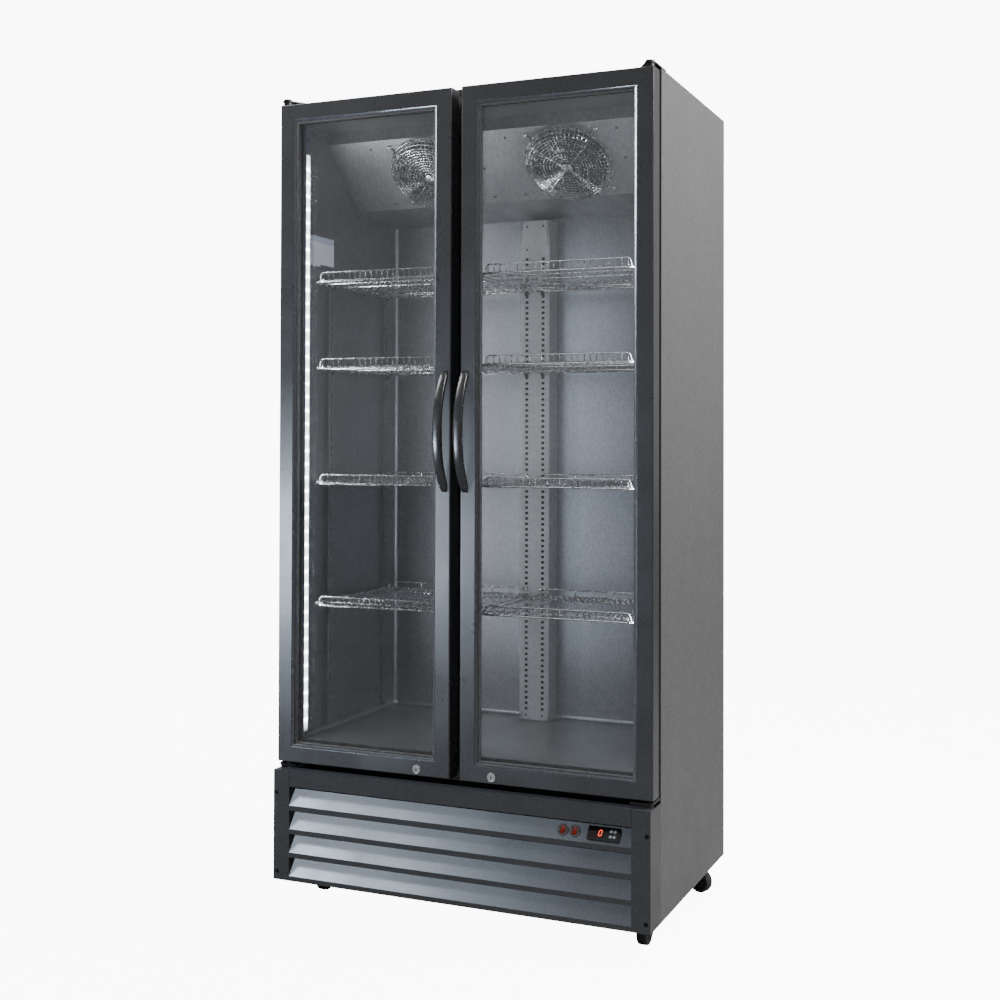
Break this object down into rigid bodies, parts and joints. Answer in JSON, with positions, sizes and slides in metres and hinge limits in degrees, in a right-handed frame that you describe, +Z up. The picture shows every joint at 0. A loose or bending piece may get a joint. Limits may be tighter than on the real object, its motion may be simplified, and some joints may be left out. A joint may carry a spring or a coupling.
{
  "type": "glass door merchandiser",
  "caption": "Upright refrigerated display cabinet with hinged glass doors, wire shelves, a lit interior, a louvred machine base and swivel casters.",
  "frame": {"origin": "on the floor, under the centre of the overall outline", "axes": "+Z up, the doors face -Y, +X towards the right door as seen from the front"},
  "size_m": [1, 0.705, 2.0663],
  "materials": {
    "cabinet_skin": "satin",
    "foam": "matte",
    "liner": "satin",
    "galvanised": "satin",
    "grille_metal": "satin",
    "door_profile": "satin",
    "door_glass": "polished",
    "gasket": "matte",
    "black_plastic": "gloss",
    "chrome": "polished",
    "white_plastic": "satin",
    "red_plastic": "gloss",
    "led_channel": "satin",
    "fins": "satin",
    "black_steel": "satin",
    "tread": "matte"
  },
  "bodies": {
    "cabinet": {"right_side_panel": "cabinet_skin", "left_side_panel": "cabinet_skin", "top_panel": "cabinet_skin", "back_panel": "cabinet_skin", "insulation": "foam", "inner_liner": "liner", "rear_standard": "galvanised", "centre_mullion": "liner", "grille": "grille_metal", "controller": "black_plastic", "base_tray": "galvanised", "rear_vent_panel": "cabinet_skin", "power_inlet": "black_plastic", "top_hinge_left": "galvanised", "top_hinge_right": "galvanised", "bottom_hinge_left": "galvanised", "bottom_hinge_right": "galvanised", "evaporator_cover": "liner", "fan_guard_left": "chrome", "fan_guard_right": "chrome", "evaporator_coil": "fins", "compressor": "black_steel", "condenser": "fins", "led_strip_left": "led_channel", "led_strip_right": "led_channel"},
    "left_door": {"left_door_frame": "door_profile", "left_door_glass": "door_glass", "left_door_gasket": "gasket", "left_door_handle": "black_plastic"},
    "left_lock_plug": {"left_lock": "chrome"},
    "right_door": {"right_door_frame": "door_profile", "right_door_glass": "door_glass", "right_door_gasket": "gasket", "right_door_handle": "black_plastic"},
    "right_lock_plug": {"right_lock": "chrome"},
    "switch_rocker_left": {"rocker_left": "red_plastic"},
    "switch_rocker_right": {"rocker_right": "red_plastic"},
    "key_1": {"button_1": "white_plastic"},
    "key_2": {"button_2": "white_plastic"},
    "key_3": {"button_3": "white_plastic"},
    "key_4": {"button_4": "white_plastic"},
    "evaporator_rotor_left": {"evaporator_fan_left": "black_plastic"},
    "evaporator_rotor_right": {"evaporator_fan_right": "black_plastic"},
    "condenser_rotor": {"condenser_fan": "black_plastic"},
    "caster_front_left": {"caster_fork_front_left": "black_steel"},
    "wheel_front_left": {"caster_wheel_front_left": "tread"},
    "caster_front_right": {"caster_fork_front_right": "black_steel"},
    "wheel_front_right": {"caster_wheel_front_right": "tread"},
    "caster_rear_left": {"caster_fork_rear_left": "black_steel"},
    "wheel_rear_left": {"caster_wheel_rear_left": "tread"},
    "caster_rear_right": {"caster_fork_rear_right": "black_steel"},
    "wheel_rear_right": {"caster_wheel_rear_right": "tread"},
    "shelf_left_1_body": {"shelf_left_1": "chrome"},
    "shelf_left_2_body": {"shelf_left_2": "chrome"},
    "shelf_left_3_body": {"shelf_left_3": "chrome"},
    "shelf_left_4_body": {"shelf_left_4": "chrome"},
    "shelf_right_1_body": {"shelf_right_1": "chrome"},
    "shelf_right_2_body": {"shelf_right_2": "chrome"},
    "shelf_right_3_body": {"shelf_right_3": "chrome"},
    "shelf_right_4_body": {"shelf_right_4": "chrome"}
  },
  "joints": [
    {"name": "left_door_hinge", "type": "hinge", "parent": "cabinet", "child": "left_door", "pos_m": [-0.487, -0.2855, 1.208], "axis": [0, 0, -1], "range_deg": [0, 110]},
    {"name": "left_lock_turn", "type": "hinge", "parent": "left_door", "child": "left_lock_plug", "pos_m": [-0.1, -0.2995, 0.383], "axis": [0, -1, 0], "range_deg": [0, 90]},
    {"name": "right_door_hinge", "type": "hinge", "parent": "cabinet", "child": "right_door", "pos_m": [0.487, -0.2855, 1.208], "axis": [0, 0, 1], "range_deg": [0, 110]},
    {"name": "right_lock_turn", "type": "hinge", "parent": "right_door", "child": "right_lock_plug", "pos_m": [0.1, -0.2995, 0.383], "axis": [0, 1, 0], "range_deg": [0, 90]},
    {"name": "switch_left_rock", "type": "hinge", "parent": "cabinet", "child": "switch_rocker_left", "pos_m": [0.283, -0.30441, 0.28029], "axis": [1, 0, 0], "range_deg": [0, 18]},
    {"name": "switch_right_rock", "type": "hinge", "parent": "cabinet", "child": "switch_rocker_right", "pos_m": [0.3124, -0.30441, 0.28029], "axis": [1, 0, 0], "range_deg": [0, 18]},
    {"name": "key_1_press", "type": "slide", "parent": "cabinet", "child": "key_1", "axis": [0, 0.7746, -0.6324], "range_m": [0, 0.0008], "stiffness_N_per_m": 250},
    {"name": "key_2_press", "type": "slide", "parent": "cabinet", "child": "key_2", "axis": [0, 0.7746, -0.6324], "range_m": [0, 0.0008], "stiffness_N_per_m": 250},
    {"name": "key_3_press", "type": "slide", "parent": "cabinet", "child": "key_3", "axis": [0, 0.7746, -0.6324], "range_m": [0, 0.0008], "stiffness_N_per_m": 250},
    {"name": "key_4_press", "type": "slide", "parent": "cabinet", "child": "key_4", "axis": [0, 0.7746, -0.6324], "range_m": [0, 0.0008], "stiffness_N_per_m": 250},
    {"name": "evaporator_fan_left_spin", "type": "hinge", "parent": "cabinet", "child": "evaporator_rotor_left", "pos_m": [-0.194, -0.03094, 1.9014], "axis": [0, -0.6488, -0.761], "continuous": true},
    {"name": "evaporator_fan_right_spin", "type": "hinge", "parent": "cabinet", "child": "evaporator_rotor_right", "pos_m": [0.194, -0.03094, 1.9014], "axis": [0, -0.6488, -0.761], "continuous": true},
    {"name": "condenser_fan_spin", "type": "hinge", "parent": "cabinet", "child": "condenser_rotor", "pos_m": [-0.25, -0.1215, 0.205], "axis": [0, 1, 0], "continuous": true},
    {"name": "caster_front_left_swivel", "type": "hinge", "parent": "cabinet", "child": "caster_front_left", "pos_m": [-0.447, -0.1695, 0.07], "axis": [0, 0, 1], "continuous": true},
    {"name": "wheel_front_left_roll", "type": "hinge", "parent": "caster_front_left", "child": "wheel_front_left", "pos_m": [-0.447, -0.1475, 0.03], "axis": [1, 0, 0], "continuous": true},
    {"name": "caster_front_right_swivel", "type": "hinge", "parent": "cabinet", "child": "caster_front_right", "pos_m": [0.447, -0.1695, 0.07], "axis": [0, 0, 1], "continuous": true},
    {"name": "wheel_front_right_roll", "type": "hinge", "parent": "caster_front_right", "child": "wheel_front_right", "pos_m": [0.447, -0.1915, 0.03], "axis": [-1, 0, 0], "continuous": true},
    {"name": "caster_rear_left_swivel", "type": "hinge", "parent": "cabinet", "child": "caster_rear_left", "pos_m": [-0.447, 0.2405, 0.07], "axis": [0, 0, 1], "continuous": true},
    {"name": "wheel_rear_left_roll", "type": "hinge", "parent": "caster_rear_left", "child": "wheel_rear_left", "pos_m": [-0.4563, 0.26044, 0.03], "axis": [0.9063, 0.4226, 0], "continuous": true},
    {"name": "caster_rear_right_swivel", "type": "hinge", "parent": "cabinet", "child": "caster_rear_right", "pos_m": [0.447, 0.2405, 0.07], "axis": [0, 0, 1], "continuous": true},
    {"name": "wheel_rear_right_roll", "type": "hinge", "parent": "caster_rear_right", "child": "wheel_rear_right", "pos_m": [0.46767, 0.23298, 0.03], "axis": [-0.342, -0.9397, 0], "continuous": true},
    {"name": "shelf_left_1_lift", "type": "slide", "parent": "cabinet", "child": "shelf_left_1_body", "axis": [0, 0, 1], "range_m": [0, 0.02]},
    {"name": "shelf_left_2_lift", "type": "slide", "parent": "cabinet", "child": "shelf_left_2_body", "axis": [0, 0, 1], "range_m": [0, 0.02]},
    {"name": "shelf_left_3_lift", "type": "slide", "parent": "cabinet", "child": "shelf_left_3_body", "axis": [0, 0, 1], "range_m": [0, 0.02]},
    {"name": "shelf_left_4_lift", "type": "slide", "parent": "cabinet", "child": "shelf_left_4_body", "axis": [0, 0, 1], "range_m": [0, 0.02]},
    {"name": "shelf_right_1_lift", "type": "slide", "parent": "cabinet", "child": "shelf_right_1_body", "axis": [0, 0, 1], "range_m": [0, 0.02]},
    {"name": "shelf_right_2_lift", "type": "slide", "parent": "cabinet", "child": "shelf_right_2_body", "axis": [0, 0, 1], "range_m": [0, 0.02]},
    {"name": "shelf_right_3_lift", "type": "slide", "parent": "cabinet", "child": "shelf_right_3_body", "axis": [0, 0, 1], "range_m": [0, 0.02]},
    {"name": "shelf_right_4_lift", "type": "slide", "parent": "cabinet", "child": "shelf_right_4_body", "axis": [0, 0, 1], "range_m": [0, 0.02]}
  ]
}
